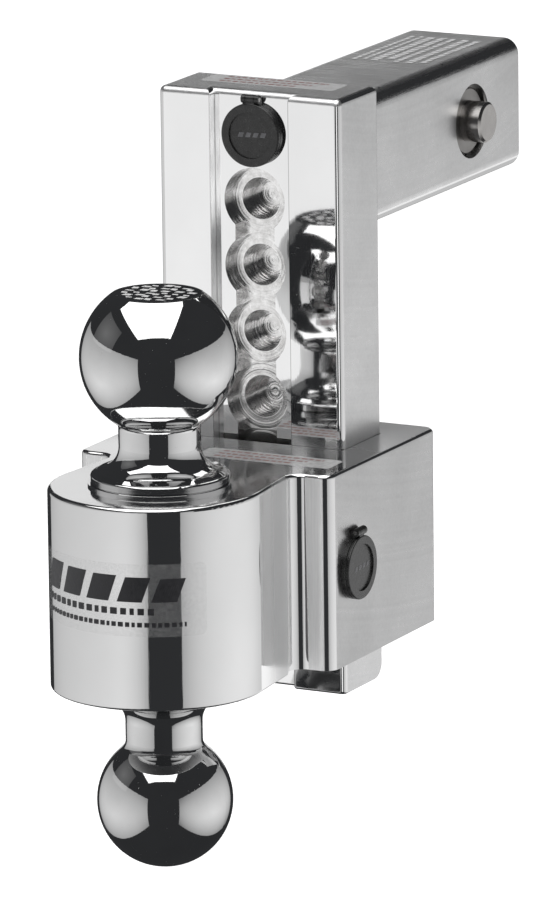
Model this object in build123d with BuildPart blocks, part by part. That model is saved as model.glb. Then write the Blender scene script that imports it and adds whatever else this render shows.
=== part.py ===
"""Adjustable drop hitch with two balls.

A machined aluminium drawbar (square shank and flat column in one piece) carries a platform that
slides on the column and is held by a sprung plunger. Two key locks, each behind a hinged dust cap,
work the plunger and the pair of receiver bolts in the shank.

Frame: the origin is where the shank's centre line meets the receiver bolts' axis. +Y points to the
towing vehicle, +Z is up and +X is the right-hand side seen from behind the ball.
"""
import os
from math import atan2, cos, degrees, hypot, radians, sin, sqrt, tan

from build123d import *

os.makedirs("parts", exist_ok=True)

# ---------------------------------------------------------------- driving dimensions, millimetres
# Drawbar
SHANK_WIDTH = 50.8          # 2 inch receiver size
SHANK_CORNER = 6.2
SHANK_END = 42.6            # far end, behind the bolts
COLUMN_BACK = -107.5
COLUMN_DEPTH = 31.75        # 1 1/4 inch
COLUMN_WIDTH = 76.2         # 3 inch
COLUMN_TOP = 33.7
COLUMN_BOTTOM = -194.6
RECESS_WIDTH = 32.8         # strip down the column's front face
RECESS_DEPTH = 4.1
COLUMN_FRONT_ROUND = 2.5
COLUMN_BACK_ROUND = 2.0
COLUMN_TOP_ROUND = 2.4
COLUMN_HEEL_ROUND = 6.0     # lower back edge
COLUMN_FOOT_ROUND = 1.2
SHANK_END_ROUND = 1.5

# Row of holes for the plunger
HOLE_STEP = 25.4
HOLE_COUNT = 7
TOP_HOLE_Z = -8.2
COUNTERBORE_R = 12.7
COUNTERBORE_DEPTH = 5.6
HOLE_R = 8.0
HOLE_DEPTH = 14.2           # from the strip's floor
CHANNEL_WIDTH = 16.5
HOLE_FLOOR_R = HOLE_R - 0.9  # last step, left by the tip of the cutter
HOLE_FLOOR_DEPTH = 1.0

# Platform and balls
BALL_Y = -213.9
PLATFORM_TOP = -99.7
NOSE_HEIGHT = 76.2
BOX_HEIGHT = 74.6
NOSE_R = 40.6
NOSE_LEAD = 2.7             # the nose arc's centre lies this far ahead of the ball axis
NOSE_TAPER = 5.5            # degrees by which each flank closes in towards the box
BOX_WIDTH = 106.6
BOX_FRONT = BALL_Y + 33.9
BOX_BACK = BALL_Y + 124.4
BACK_OPENING = 54.0         # the shank passes through here when the platform rides high
BOX_CORNER = 5.5
CROTCH_R = 5.5              # hollow corner between a flank and the box
PLATFORM_TOP_ROUND = 1.5
PLATFORM_BOTTOM_ROUND = 1.2
SLOT_CORNER = 1.4
SLIDE_GAP = 0.3
UPPER_BALL_R = 58.74 / 2    # 2 5/16 inch
LOWER_BALL_R = 50.8 / 2     # 2 inch
UPPER_BALL_Z = PLATFORM_TOP + 47.7
LOWER_BALL_Z = PLATFORM_TOP - 120.8
UPPER_NECK_R = 15.3
LOWER_NECK_R = 14.4
UPPER_NECK_BLEND = 2.2      # round between neck and ball
LOWER_NECK_BLEND = 4.0
CROWN_FLAT_R = 16.8         # flat on top of the upper ball
CROWN_ROUND = 1.2
STUD_R = 12.7
STUD_BORE_R = STUD_R + 0.05
WASHER_THICKNESS = 1.0
WASHER_R = 27.0
FLANGE_R = 25.9

# Receiver bolts and what drives them
BOLT_R = 15.88 / 2          # 5/8 inch
BOLT_INNER = 8.9
BOLT_END = SHANK_WIDTH / 2 + 7.0
BOLT_FLAT = 3.7             # height of the flat above the bolt's axis
BOLT_GROOVE_R = 7.4         # groove that parts the driven length from the free end
BOLT_GROOVE_WIDTH = 0.6
CROSS_BORE_R = 14.5
BUSHING_INNER = 16.6
BUSHING_SHOULDER = 4.4
BUSHING_RIM_R = 12.95
BUSHING_FACE = SHANK_WIDTH / 2 - 1.8
BOLT_TRAVEL = 7.4
FOLLOWER_X = 11.8           # follower pin's distance from the middle with the bolts out
FOLLOWER_R = 1.5
FOLLOWER_BOTTOM = -3.0
FOLLOWER_LENGTH = 9.6
ROD_TRAVEL = 9.5
ROD_R = 4.0
ROD_BORE_R = ROD_R + 0.08
ROD_FRONT_DEPTH = 34.0      # from the strip's floor to the rod's near end
ROD_END = 8.0
ROD_BORE_END = 14.0
SPINDLE_R = 2.9             # front key's tail, which the hollow rod runs on
SPINDLE_BORE_R = 3.0
SPINDLE_BORE_DEPTH = 30.0
KEYWAY_WIDTH = 6.4
KEYWAY_LENGTH = 17.0
KEYWAY_FLOOR = 9.0
CAM_SLIDE_BOTTOM = 3.9
CAM_SLIDE_THICKNESS = 3.0
CAM_SLIDE_WIDTH = 28.4
CAM_SLIDE_LENGTH = 15.2
CAM_SLOT_WIDTH = 3.2
NECK_Y = 4.0                # where the cam slide's neck stands with the bolts out
NECK_WIDTH = 5.0
NECK_THICKNESS = 3.4
NECK_TOP = 16.5
SCREW_R = 0.8
SCREW_HEAD_R = 1.4

# Key locks and their dust caps
FRONT_LOCK_Z = 17.3
FRONT_LOCK_DEPTH = 22.0
FRONT_BORE_DEPTH = 26.0
SIDE_LOCK_Y = -160.4
SIDE_LOCK_Z = -138.2
SIDE_LOCK_DEPTH = 31.0
LOCK_R = 9.85
LOCK_BORE_R = 9.9
CYLINDER_R = 6.5
CYLINDER_SUNK = 0.6         # how far a key cylinder's face lies below its housing's
CYLINDER_PAST = 1.2         # how far a key cylinder reaches past its housing
RING_PAST = 1.4             # how far behind its housing a snap ring stands
KEY_SLOT_LENGTH = 7.6
KEY_SLOT_WIDTH = 1.5
KEY_SLOT_DEPTH = 9.0
SPINDLE_LENGTH = 30.0       # front key's tail
SNAP_RING_R = 7.5
SNAP_RING_THICKNESS = 0.9
SNAP_RING_GAP = 4.0
CAP_R = 12.1
CAP_RING_HEIGHT = 1.9
CAP_HEIGHT = 3.3
CAP_DISC_R = 8.9
HINGE_OFFSET = 13.7
HINGE_WIDTH = 7.2
KNUCKLE_WIDTH = 3.5
KNUCKLE_R = 1.6
HINGE_PIN_R = 0.8
LID_LIFT = 0.1              # seam between ring and lid

# Plunger
PLUNGER_R = 12.5
PLUNGER_BORE_R = 12.58
PLUNGER_NOSE_R = 7.8
PLUNGER_TRAVEL = 9.2
PLUNGER_LENGTH = 34.0       # collar only
PLUNGER_STEM_R = 4.5
PLUNGER_STEM_LENGTH = 5.8
CAM_THROW = PLUNGER_TRAVEL / 2
CAM_PIN_R = 2.5
CAM_PIN_LENGTH = 6.4
CAM_DISC_R = 7.6
CAM_DISC_INNER = 13.6       # disc's near face, from the middle of the platform
CAM_TAIL_R = 3.5            # tail of the side key, which the disc is fixed to
CAM_TAIL_LENGTH = 3.0
SPRING_R = 6.6
SPRING_WIRE_R = 0.7
SPRING_TURNS = 4.5
STUD_PIN_R = 3.0

RUNNING_GAP = 0.06

# ---------------------------------------------------------------- places worked out from the above
COLUMN_FRONT = COLUMN_BACK - COLUMN_DEPTH
COLUMN_MIDDLE = COLUMN_FRONT + COLUMN_DEPTH / 2
STRIP_FLOOR = COLUMN_FRONT + RECESS_DEPTH
HOLE_ZS = [TOP_HOLE_Z - HOLE_STEP * i for i in range(HOLE_COUNT)]
PLUNGER_Z = HOLE_ZS[5]
# The plunger stands withdrawn: its collar is out of the counterbore and its nose in the channel
PLUNGER_TIP = STRIP_FLOOR + HOLE_DEPTH - 0.4 - PLUNGER_TRAVEL
COLLAR_FACE = STRIP_FLOOR + COUNTERBORE_DEPTH - 0.3 - PLUNGER_TRAVEL
PLUNGER_BACK = COLLAR_FACE - PLUNGER_LENGTH
PLUNGER_BORE_END = BALL_Y + 31.0
BOX_RIGHT = BOX_WIDTH / 2
BOX_BOTTOM = PLATFORM_TOP - BOX_HEIGHT
NOSE_BOTTOM = PLATFORM_TOP - NOSE_HEIGHT

# Looks straight at the strip's floor: local x is +X, local y is +Z, local z comes out of the face.
STRIP_PLANE = Plane(origin=(0, STRIP_FLOOR, 0), x_dir=(1, 0, 0), z_dir=(0, -1, 0))
FRONT_LOCK_PLANE = Plane(origin=(0, STRIP_FLOOR, FRONT_LOCK_Z), x_dir=(1, 0, 0), z_dir=(0, -1, 0))
SIDE_LOCK_PLANE = Plane(origin=(BOX_RIGHT, SIDE_LOCK_Y, SIDE_LOCK_Z), x_dir=(0, 1, 0), z_dir=(1, 0, 0))
RIGHT_SIDE = Plane(origin=(0, 0, 0), x_dir=(0, 1, 0), z_dir=(1, 0, 0))


def save(part, name):
    """Label a finished sub-part and write its STEP file."""
    part.label = name
    export_step(part, f"parts/{name}.step")


# ================================================================ drawbar
def edges_at(part, axis, value, tolerance=0.05):
    """Edges that lie wholly at one coordinate."""
    return part.edges().filter_by_position(axis, value - tolerance, value + tolerance)


with BuildPart() as drawbar:
    # Column: a flat bar with the strip milled down its front face
    with BuildSketch(Plane.XY.offset(COLUMN_BOTTOM)) as column_plan:
        with Locations((0, COLUMN_MIDDLE)):
            Rectangle(COLUMN_WIDTH, COLUMN_DEPTH)
        front_corners = column_plan.vertices().group_by(Axis.Y)[0]
        back_corners = column_plan.vertices().group_by(Axis.Y)[-1]
        fillet(front_corners, radius=COLUMN_FRONT_ROUND)
        fillet(back_corners, radius=COLUMN_BACK_ROUND)
        with Locations((0, COLUMN_FRONT + RECESS_DEPTH / 2)):
            Rectangle(RECESS_WIDTH, RECESS_DEPTH, mode=Mode.SUBTRACT)
    extrude(amount=COLUMN_TOP - COLUMN_BOTTOM)
    fillet(edges_at(drawbar, Axis.Z, COLUMN_TOP), radius=COLUMN_TOP_ROUND)
    heel = edges_at(drawbar, Axis.Z, COLUMN_BOTTOM).filter_by(Axis.X).sort_by(Axis.Y)[-1]
    fillet(heel, radius=COLUMN_HEEL_ROUND)
    fillet(edges_at(drawbar, Axis.Z, COLUMN_BOTTOM), radius=COLUMN_FOOT_ROUND)
    # Shank, grown out of the column's back
    with BuildSketch(Plane.XZ.offset(-SHANK_END)):
        RectangleRounded(SHANK_WIDTH, SHANK_WIDTH, SHANK_CORNER)
    extrude(amount=SHANK_END - COLUMN_BACK + 1.0)
    fillet(edges_at(drawbar, Axis.Y, SHANK_END), radius=SHANK_END_ROUND)
    # Counterbores, the channel that joins them, and the stepped blind holes
    with BuildSketch(STRIP_PLANE):
        with Locations(*[(0, z) for z in HOLE_ZS]):
            Circle(COUNTERBORE_R)
        with Locations((0, (HOLE_ZS[0] + HOLE_ZS[-1]) / 2)):
            Rectangle(CHANNEL_WIDTH, HOLE_ZS[0] - HOLE_ZS[-1])
    extrude(amount=-COUNTERBORE_DEPTH, mode=Mode.SUBTRACT)
    with BuildSketch(STRIP_PLANE.offset(-COUNTERBORE_DEPTH)):
        with Locations(*[(0, z) for z in HOLE_ZS]):
            Circle(HOLE_R)
    extrude(amount=COUNTERBORE_DEPTH - HOLE_DEPTH, mode=Mode.SUBTRACT)
    with BuildSketch(STRIP_PLANE.offset(-HOLE_DEPTH)):
        with Locations(*[(0, z) for z in HOLE_ZS]):
            Circle(HOLE_FLOOR_R)
    extrude(amount=-HOLE_FLOOR_DEPTH, mode=Mode.SUBTRACT)
    # Front lock's bore, then the long bore for the pull rod
    with BuildSketch(FRONT_LOCK_PLANE):
        Circle(LOCK_BORE_R)
    extrude(amount=-FRONT_BORE_DEPTH, mode=Mode.SUBTRACT)
    with BuildSketch(FRONT_LOCK_PLANE):
        Circle(ROD_BORE_R)
    extrude(amount=STRIP_FLOOR - ROD_BORE_END, mode=Mode.SUBTRACT)
    # Cross bore for the receiver bolts and the keyway that opens it to the rod
    with BuildSketch(RIGHT_SIDE.offset(-SHANK_WIDTH / 2)):
        Circle(CROSS_BORE_R)
    extrude(amount=SHANK_WIDTH, mode=Mode.SUBTRACT)
    with BuildSketch(Plane.XY.offset(KEYWAY_FLOOR)):
        Rectangle(KEYWAY_WIDTH, KEYWAY_LENGTH)
    extrude(amount=FRONT_LOCK_Z - KEYWAY_FLOOR, mode=Mode.SUBTRACT)
save(drawbar.part, "drawbar")


# ================================================================ receiver bolts and their drive
def bolt_bushing(side):
    """Guide bushing of one receiver bolt: side is +1 for the right one, -1 for the left one."""
    inner = Plane(origin=(side * BUSHING_INNER, 0, 0), x_dir=(0, side, 0), z_dir=(side, 0, 0))
    with BuildPart() as bushing:
        with BuildSketch(inner):
            Circle(CROSS_BORE_R - 0.02)
        extrude(amount=BUSHING_SHOULDER)
        with BuildSketch(inner.offset(BUSHING_SHOULDER)):
            Circle(BUSHING_RIM_R)
        extrude(amount=BUSHING_FACE - BUSHING_INNER - BUSHING_SHOULDER)
        rim = bushing.faces().sort_by(Axis.X)[-1 if side > 0 else 0].edges()
        chamfer(rim, length=0.5)
        with BuildSketch(inner):
            Circle(BOLT_R + RUNNING_GAP)
        extrude(amount=BUSHING_FACE - BUSHING_INNER, mode=Mode.SUBTRACT)
    return bushing.part


def receiver_bolt(side):
    """Bolt with a chamfered outer end and a flat that lets it pass under the cam slide."""
    inner = Plane(origin=(side * BOLT_INNER, 0, 0), x_dir=(0, side, 0), z_dir=(side, 0, 0))
    with BuildPart() as bolt:
        with BuildSketch(inner):
            Circle(BOLT_R)
        extrude(amount=BOLT_END - BOLT_INNER)
        tip = bolt.faces().sort_by(Axis.X)[-1 if side > 0 else 0].edges()
        chamfer(tip, length=0.9)
        groove = BUSHING_FACE - BOLT_GROOVE_WIDTH - BOLT_INNER
        with BuildSketch(inner):
            with Locations((0, BOLT_FLAT + BOLT_R / 2)):
                Rectangle(3 * BOLT_R, BOLT_R)
        extrude(amount=groove, mode=Mode.SUBTRACT)
        with BuildSketch(inner.offset(groove)):
            Circle(BOLT_R + 1.0)
            Circle(BOLT_GROOVE_R, mode=Mode.SUBTRACT)
        extrude(amount=BOLT_GROOVE_WIDTH, mode=Mode.SUBTRACT)
        with BuildSketch(Plane.XY.offset(FOLLOWER_BOTTOM)):
            with Locations((side * FOLLOWER_X, 0)):
                Circle(FOLLOWER_R)
        extrude(amount=FOLLOWER_LENGTH, mode=Mode.SUBTRACT)
    return bolt.part


def follower_pin(side):
    """Upright pin pressed into a bolt's inner end; it runs in a slot of the cam slide."""
    with BuildPart() as pin:
        with BuildSketch(Plane.XY.offset(FOLLOWER_BOTTOM)):
            with Locations((side * FOLLOWER_X, 0)):
                Circle(FOLLOWER_R)
        extrude(amount=FOLLOWER_LENGTH)
    return pin.part


SIDES = {"right": 1, "left": -1}
for side_name, side_sign in SIDES.items():
    save(bolt_bushing(side_sign), f"bolt_bushing_{side_name}")
    save(receiver_bolt(side_sign), f"receiver_bolt_{side_name}")
    save(follower_pin(side_sign), f"follower_pin_{side_name}")

SLOT_RUN = hypot(BOLT_TRAVEL, ROD_TRAVEL)
SLOT_ANGLE = -degrees(atan2(ROD_TRAVEL, BOLT_TRAVEL))
CAM_SLIDE_TOP = CAM_SLIDE_BOTTOM + CAM_SLIDE_THICKNESS
with BuildPart() as cam_slide:
    # Plate with two slanting slots, one for each bolt's follower pin
    with BuildSketch(Plane.XY.offset(CAM_SLIDE_BOTTOM)):
        with Locations((0, ROD_TRAVEL / 2)):
            Rectangle(CAM_SLIDE_WIDTH, CAM_SLIDE_LENGTH)
        for sign in SIDES.values():
            with Locations((sign * (FOLLOWER_X - BOLT_TRAVEL / 2), ROD_TRAVEL / 2)):
                SlotCenterToCenter(SLOT_RUN, CAM_SLOT_WIDTH, rotation=sign * SLOT_ANGLE,
                                   mode=Mode.SUBTRACT)
    extrude(amount=CAM_SLIDE_THICKNESS)
    with BuildSketch(Plane.XY.offset(CAM_SLIDE_TOP)):
        with Locations((0, NECK_Y)):
            Rectangle(NECK_WIDTH, NECK_THICKNESS)
    extrude(amount=NECK_TOP - CAM_SLIDE_TOP)
    with BuildSketch(Plane.XY.offset(CAM_SLIDE_BOTTOM)):
        with Locations((0, NECK_Y)):
            Circle(SCREW_R)
    extrude(amount=NECK_TOP - CAM_SLIDE_BOTTOM, mode=Mode.SUBTRACT)
save(cam_slide.part, "cam_slide")

ROD_BOTTOM = FRONT_LOCK_Z - ROD_R
with BuildPart() as pull_rod:
    with BuildSketch(FRONT_LOCK_PLANE.offset(-ROD_FRONT_DEPTH)):
        Circle(ROD_R)
    extrude(amount=STRIP_FLOOR + ROD_FRONT_DEPTH - ROD_END)
    with BuildSketch(FRONT_LOCK_PLANE.offset(-ROD_FRONT_DEPTH)):
        Circle(SPINDLE_BORE_R)
    extrude(amount=-SPINDLE_BORE_DEPTH, mode=Mode.SUBTRACT)
    # Socket for the cam slide's neck, and the tapped hole above it
    with BuildSketch(Plane.XY.offset(ROD_BOTTOM)):
        with Locations((0, NECK_Y)):
            Rectangle(NECK_WIDTH + 0.04, NECK_THICKNESS + 0.04)
    extrude(amount=NECK_TOP - ROD_BOTTOM + 0.04, mode=Mode.SUBTRACT)
    with BuildSketch(Plane.XY.offset(ROD_BOTTOM)):
        with Locations((0, NECK_Y)):
            Circle(SCREW_R)
    extrude(amount=1.5 * ROD_R, mode=Mode.SUBTRACT)
save(pull_rod.part, "pull_rod")

with BuildPart() as slide_screw:
    with BuildSketch(Plane.XY.offset(CAM_SLIDE_BOTTOM - 0.9)):
        with Locations((0, NECK_Y)):
            Circle(SCREW_HEAD_R)
    extrude(amount=0.9)
    with BuildSketch(Plane.XY.offset(CAM_SLIDE_BOTTOM)):
        with Locations((0, NECK_Y)):
            Circle(SCREW_R - 0.02)
    extrude(amount=15.0)
save(slide_screw.part, "slide_screw")


# ================================================================ key locks and dust caps
def lock_housing(plane, depth):
    """Sleeve that is pressed into a lock bore, open at both ends."""
    with BuildPart() as housing:
        with BuildSketch(plane):
            Circle(LOCK_R)
            Circle(CYLINDER_R + RUNNING_GAP, mode=Mode.SUBTRACT)
        extrude(amount=-depth)
    return housing.part


def key_cylinder(plane, depth, tail_radius, tail_length):
    """Key cylinder with a keyway in its face and a plain tail."""
    with BuildPart() as cylinder:
        with BuildSketch(plane.offset(-CYLINDER_SUNK)):
            Circle(CYLINDER_R)
        extrude(amount=CYLINDER_SUNK - depth)
        with BuildSketch(plane.offset(-depth)):
            Circle(tail_radius)
        extrude(amount=-tail_length)
        with BuildSketch(plane.offset(-CYLINDER_SUNK)):
            SlotOverall(KEY_SLOT_LENGTH, KEY_SLOT_WIDTH, rotation=90)
            with Locations((0.9, -1.6)):
                Rectangle(1.4, 1.1)
        extrude(amount=-KEY_SLOT_DEPTH, mode=Mode.SUBTRACT)
    return cylinder.part


def snap_ring(plane, depth, inner_radius):
    """Open retaining ring around a cylinder's tail, behind the housing."""
    with BuildPart() as ring:
        with BuildSketch(plane.offset(-depth)):
            Circle(SNAP_RING_R)
            Circle(inner_radius, mode=Mode.SUBTRACT)
            with Locations((0, -SNAP_RING_R)):
                Rectangle(SNAP_RING_GAP, SNAP_RING_R, mode=Mode.SUBTRACT)
        extrude(amount=-SNAP_RING_THICKNESS)
    return ring.part


def hinge_plane(plane, width):
    """Plane square to a dust cap's hinge, at one end of a stretch of the given width."""
    end = (-width / 2, HINGE_OFFSET, CAP_RING_HEIGHT)
    return Plane(origin=plane.from_local_coords(end), x_dir=plane.y_dir, z_dir=plane.x_dir)


def cap_ring(plane):
    """Dust cap's base ring with the two outer hinge ears."""
    with BuildPart() as ring:
        with BuildSketch(plane):
            Circle(CAP_R)
            with Locations((0, HINGE_OFFSET - 2.0)):
                Rectangle(HINGE_WIDTH, 4.0)
            Circle(CYLINDER_R + 1.5, mode=Mode.SUBTRACT)
        extrude(amount=CAP_RING_HEIGHT)
        ear_side = hinge_plane(plane, HINGE_WIDTH)
        with BuildSketch(ear_side):
            Circle(KNUCKLE_R)
        extrude(amount=HINGE_WIDTH)
        outer_rim = ring.edges().filter_by(GeomType.CIRCLE).filter_by(
            lambda edge: abs(edge.radius - CAP_R) < 0.01)
        top_rim = outer_rim.filter_by(
            lambda edge: plane.to_local_coords(edge.center()).Z > CAP_RING_HEIGHT / 2)
        chamfer(top_rim, length=0.3)
        # Space for the lid's knuckle, and the pin's hole
        with BuildSketch(plane):
            with Locations((0, HINGE_OFFSET + 0.3)):
                Rectangle(KNUCKLE_WIDTH + 0.4, 2 * KNUCKLE_R + 0.9)
        extrude(amount=CAP_HEIGHT + 1.0, mode=Mode.SUBTRACT)
        with BuildSketch(ear_side):
            Circle(HINGE_PIN_R)
        extrude(amount=HINGE_WIDTH, mode=Mode.SUBTRACT)
    return ring.part


def cap_lid(plane):
    """Dust cap's lid: raised rim, shallow dished middle and one knuckle."""
    base = CAP_RING_HEIGHT + LID_LIFT
    with BuildPart() as lid:
        with BuildSketch(plane.offset(base)):
            Circle(CAP_R)
        extrude(amount=CAP_HEIGHT - base)
        rim_edges = lid.edges().filter_by(GeomType.CIRCLE).filter_by(
            lambda edge: plane.to_local_coords(edge.center()).Z > base + 0.1)
        fillet(rim_edges, radius=0.55)
        with BuildSketch(plane.offset(base + 0.55)):
            Circle(CAP_DISC_R)
        extrude(amount=CAP_HEIGHT, mode=Mode.SUBTRACT)
        with BuildSketch(plane.offset(base)):
            with Locations((0, HINGE_OFFSET - 1.6)):
                Rectangle(KNUCKLE_WIDTH, 3.2)
        extrude(amount=1.0)
        knuckle_side = hinge_plane(plane, KNUCKLE_WIDTH)
        with BuildSketch(knuckle_side):
            Circle(KNUCKLE_R)
        extrude(amount=KNUCKLE_WIDTH)
        with BuildSketch(knuckle_side):
            Circle(HINGE_PIN_R + RUNNING_GAP)
        extrude(amount=KNUCKLE_WIDTH, mode=Mode.SUBTRACT)
    return lid.part


def hinge_pin(plane):
    """Pin through the ears and the knuckle."""
    with BuildPart() as pin:
        with BuildSketch(hinge_plane(plane, HINGE_WIDTH)):
            Circle(HINGE_PIN_R)
        extrude(amount=HINGE_WIDTH)
    return pin.part


for lock_name, lock_plane in (("front", FRONT_LOCK_PLANE), ("side", SIDE_LOCK_PLANE)):
    save(cap_ring(lock_plane), f"{lock_name}_cap_ring")
    save(cap_lid(lock_plane), f"{lock_name}_cap_lid")
    save(hinge_pin(lock_plane), f"{lock_name}_hinge_pin")

save(lock_housing(FRONT_LOCK_PLANE, FRONT_LOCK_DEPTH), "front_lock_housing")
save(key_cylinder(FRONT_LOCK_PLANE, FRONT_LOCK_DEPTH + CYLINDER_PAST, SPINDLE_R, SPINDLE_LENGTH),
     "front_key_cylinder")
save(snap_ring(FRONT_LOCK_PLANE, FRONT_LOCK_DEPTH + RING_PAST, SPINDLE_R + 0.1), "front_snap_ring")

# The side lock reaches from the platform's right face to the cam disc beside the plunger
save(lock_housing(SIDE_LOCK_PLANE, SIDE_LOCK_DEPTH), "side_lock_housing")
save(key_cylinder(SIDE_LOCK_PLANE, SIDE_LOCK_DEPTH + CYLINDER_PAST, CAM_TAIL_R, CAM_TAIL_LENGTH),
     "side_key_cylinder")
save(snap_ring(SIDE_LOCK_PLANE, SIDE_LOCK_DEPTH + RING_PAST, CAM_TAIL_R + 0.1), "side_snap_ring")

TAIL_END = BOX_RIGHT - SIDE_LOCK_DEPTH - CYLINDER_PAST - CAM_TAIL_LENGTH
with BuildPart() as side_cam:
    disc_face = SIDE_LOCK_PLANE.offset(CAM_DISC_INNER - BOX_RIGHT)
    with BuildSketch(disc_face):
        Circle(CAM_DISC_R)
    extrude(amount=BOX_RIGHT - CAM_DISC_INNER - SIDE_LOCK_DEPTH - 2.5)
    # Socket for the key's tail
    with BuildSketch(SIDE_LOCK_PLANE.offset(TAIL_END - BOX_RIGHT)):
        Circle(CAM_TAIL_R)
    extrude(amount=CAM_TAIL_LENGTH, mode=Mode.SUBTRACT)
    # Pin off the centre that moves the plunger
    with BuildSketch(disc_face):
        with Locations((-CAM_THROW, 0)):
            Circle(CAM_PIN_R)
    extrude(amount=-CAM_PIN_LENGTH)
save(side_cam.part, "side_cam")


# ================================================================ platform
NOSE_CENTRE = BALL_Y - NOSE_LEAD


def nose_outline(end):
    """Nose seen from above: a round front and two flanks that close in as they run back to end."""
    taper = radians(NOSE_TAPER)
    flank_x = NOSE_R * cos(taper)
    flank_y = NOSE_CENTRE + NOSE_R * sin(taper)
    end_x = flank_x - (end - flank_y) * tan(taper)
    with BuildLine() as outline:
        left = Line((-end_x, end), (-flank_x, flank_y))
        front = ThreePointArc(left @ 1, (0, NOSE_CENTRE - NOSE_R), (flank_x, flank_y))
        right = Line(front @ 1, (end_x, end))
        Line(right @ 1, left @ 0)
    return outline.edges()


with BuildPart() as ball_platform:
    # Box that wraps round the column
    with BuildSketch(Plane.XY.offset(BOX_BOTTOM)) as box_plan:
        with Locations((0, (BOX_FRONT + BOX_BACK) / 2)):
            RectangleRounded(BOX_WIDTH, BOX_BACK - BOX_FRONT, BOX_CORNER)
        make_face(nose_outline(BOX_FRONT + 8.0))
        inner_corners = box_plan.vertices().filter_by_position(
            Axis.Y, BOX_FRONT - 0.1, BOX_FRONT + 0.1)
        crotches = [v for v in inner_corners if abs(v.X) < NOSE_R]
        fillet(crotches, radius=CROTCH_R)
    extrude(amount=BOX_HEIGHT)
    top_rim = edges_at(ball_platform, Axis.Z, PLATFORM_TOP)
    fillet(top_rim, radius=PLATFORM_TOP_ROUND)
    # The nose reaches a little lower than the box
    with BuildSketch(Plane.XY.offset(NOSE_BOTTOM)):
        make_face(nose_outline(BOX_FRONT - 6.0))
    extrude(amount=NOSE_HEIGHT / 2)
    bottom_rims = edges_at(ball_platform, Axis.Z, NOSE_BOTTOM)
    fillet(bottom_rims, radius=PLATFORM_BOTTOM_ROUND)
    # Slot for the column and the opening in the back for the shank
    with BuildSketch(Plane.XY.offset(NOSE_BOTTOM)) as slot_plan:
        with Locations((0, COLUMN_MIDDLE)):
            RectangleRounded(COLUMN_WIDTH + 2 * SLIDE_GAP, COLUMN_DEPTH + 2 * SLIDE_GAP, SLOT_CORNER)
        with Locations((0, (COLUMN_MIDDLE + BOX_BACK) / 2 + 1.0)):
            Rectangle(BACK_OPENING, BOX_BACK - COLUMN_MIDDLE + 2.0)
    extrude(amount=NOSE_HEIGHT, mode=Mode.SUBTRACT)
    # Bore for the ball stud
    with BuildSketch(Plane.XY.offset(NOSE_BOTTOM)):
        with Locations((0, BALL_Y)):
            Circle(STUD_BORE_R)
    extrude(amount=NOSE_HEIGHT, mode=Mode.SUBTRACT)
    # Plunger bore from the slot, and the pin hole that runs on to the stud
    PLUNGER_PLANE = Plane(origin=(0, PLUNGER_BORE_END, PLUNGER_Z), x_dir=(-1, 0, 0), z_dir=(0, 1, 0))
    with BuildSketch(PLUNGER_PLANE):
        Circle(PLUNGER_BORE_R)
    extrude(amount=COLUMN_FRONT - PLUNGER_BORE_END, mode=Mode.SUBTRACT)
    with BuildSketch(PLUNGER_PLANE):
        Circle(STUD_PIN_R)
    extrude(amount=BALL_Y + 10.0 - PLUNGER_BORE_END, mode=Mode.SUBTRACT)
    # Side lock's bore and the room for its cam pin
    with BuildSketch(SIDE_LOCK_PLANE):
        Circle(LOCK_BORE_R)
    extrude(amount=CAM_DISC_INNER - 0.8 - BOX_RIGHT, mode=Mode.SUBTRACT)
    with BuildSketch(SIDE_LOCK_PLANE):
        Circle(CAM_DISC_R + 0.6)
    extrude(amount=CAM_DISC_INNER - CAM_PIN_LENGTH - 2.2 - BOX_RIGHT, mode=Mode.SUBTRACT)
save(ball_platform.part, "ball_platform")


# ================================================================ balls
def ball_profile(ball_radius, ball_centre, neck_radius, flat_radius, seat, stud_end, up):
    """Half outline of a hitch ball in (r, z): up is +1 for a ball above its seat, -1 below."""
    neck_join = ball_centre - up * sqrt(ball_radius ** 2 - neck_radius ** 2)
    if flat_radius:
        crown = ball_centre + up * sqrt(ball_radius ** 2 - flat_radius ** 2)
    else:
        crown = ball_centre + up * ball_radius
    cove = 9.0
    flange_top = seat + up * 3.2
    with BuildLine() as outline:
        Line((0, stud_end), (STUD_R, stud_end))
        Line((STUD_R, stud_end), (STUD_R, seat))
        Line((STUD_R, seat), (FLANGE_R - 0.4, seat))
        Line((FLANGE_R - 0.4, seat), (FLANGE_R, seat + up * 0.4))
        Line((FLANGE_R, seat + up * 0.4), (FLANGE_R, flange_top - up * 0.7))
        RadiusArc((FLANGE_R, flange_top - up * 0.7), (FLANGE_R - 1.2, flange_top + up * 0.1), up * -1.2)
        Line((FLANGE_R - 1.2, flange_top + up * 0.1), (neck_radius + cove - 1.0, flange_top + up * 1.1))
        cove_start = (neck_radius + cove - 1.0, flange_top + up * 1.1)
        cove_end = (neck_radius, flange_top + up * (1.1 + cove))
        TangentArc(cove_start, cove_end, tangent=(-1, up * 0.12))
        Line(cove_end, (neck_radius, neck_join))
        middle = (ball_radius, ball_centre)
        if flat_radius:
            ThreePointArc((neck_radius, neck_join), middle, (flat_radius, crown))
            Line((flat_radius, crown), (0, crown))
        else:
            ThreePointArc((neck_radius, neck_join), middle, (0, crown))
        Line((0, crown), (0, stud_end))
    return outline.line


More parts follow.
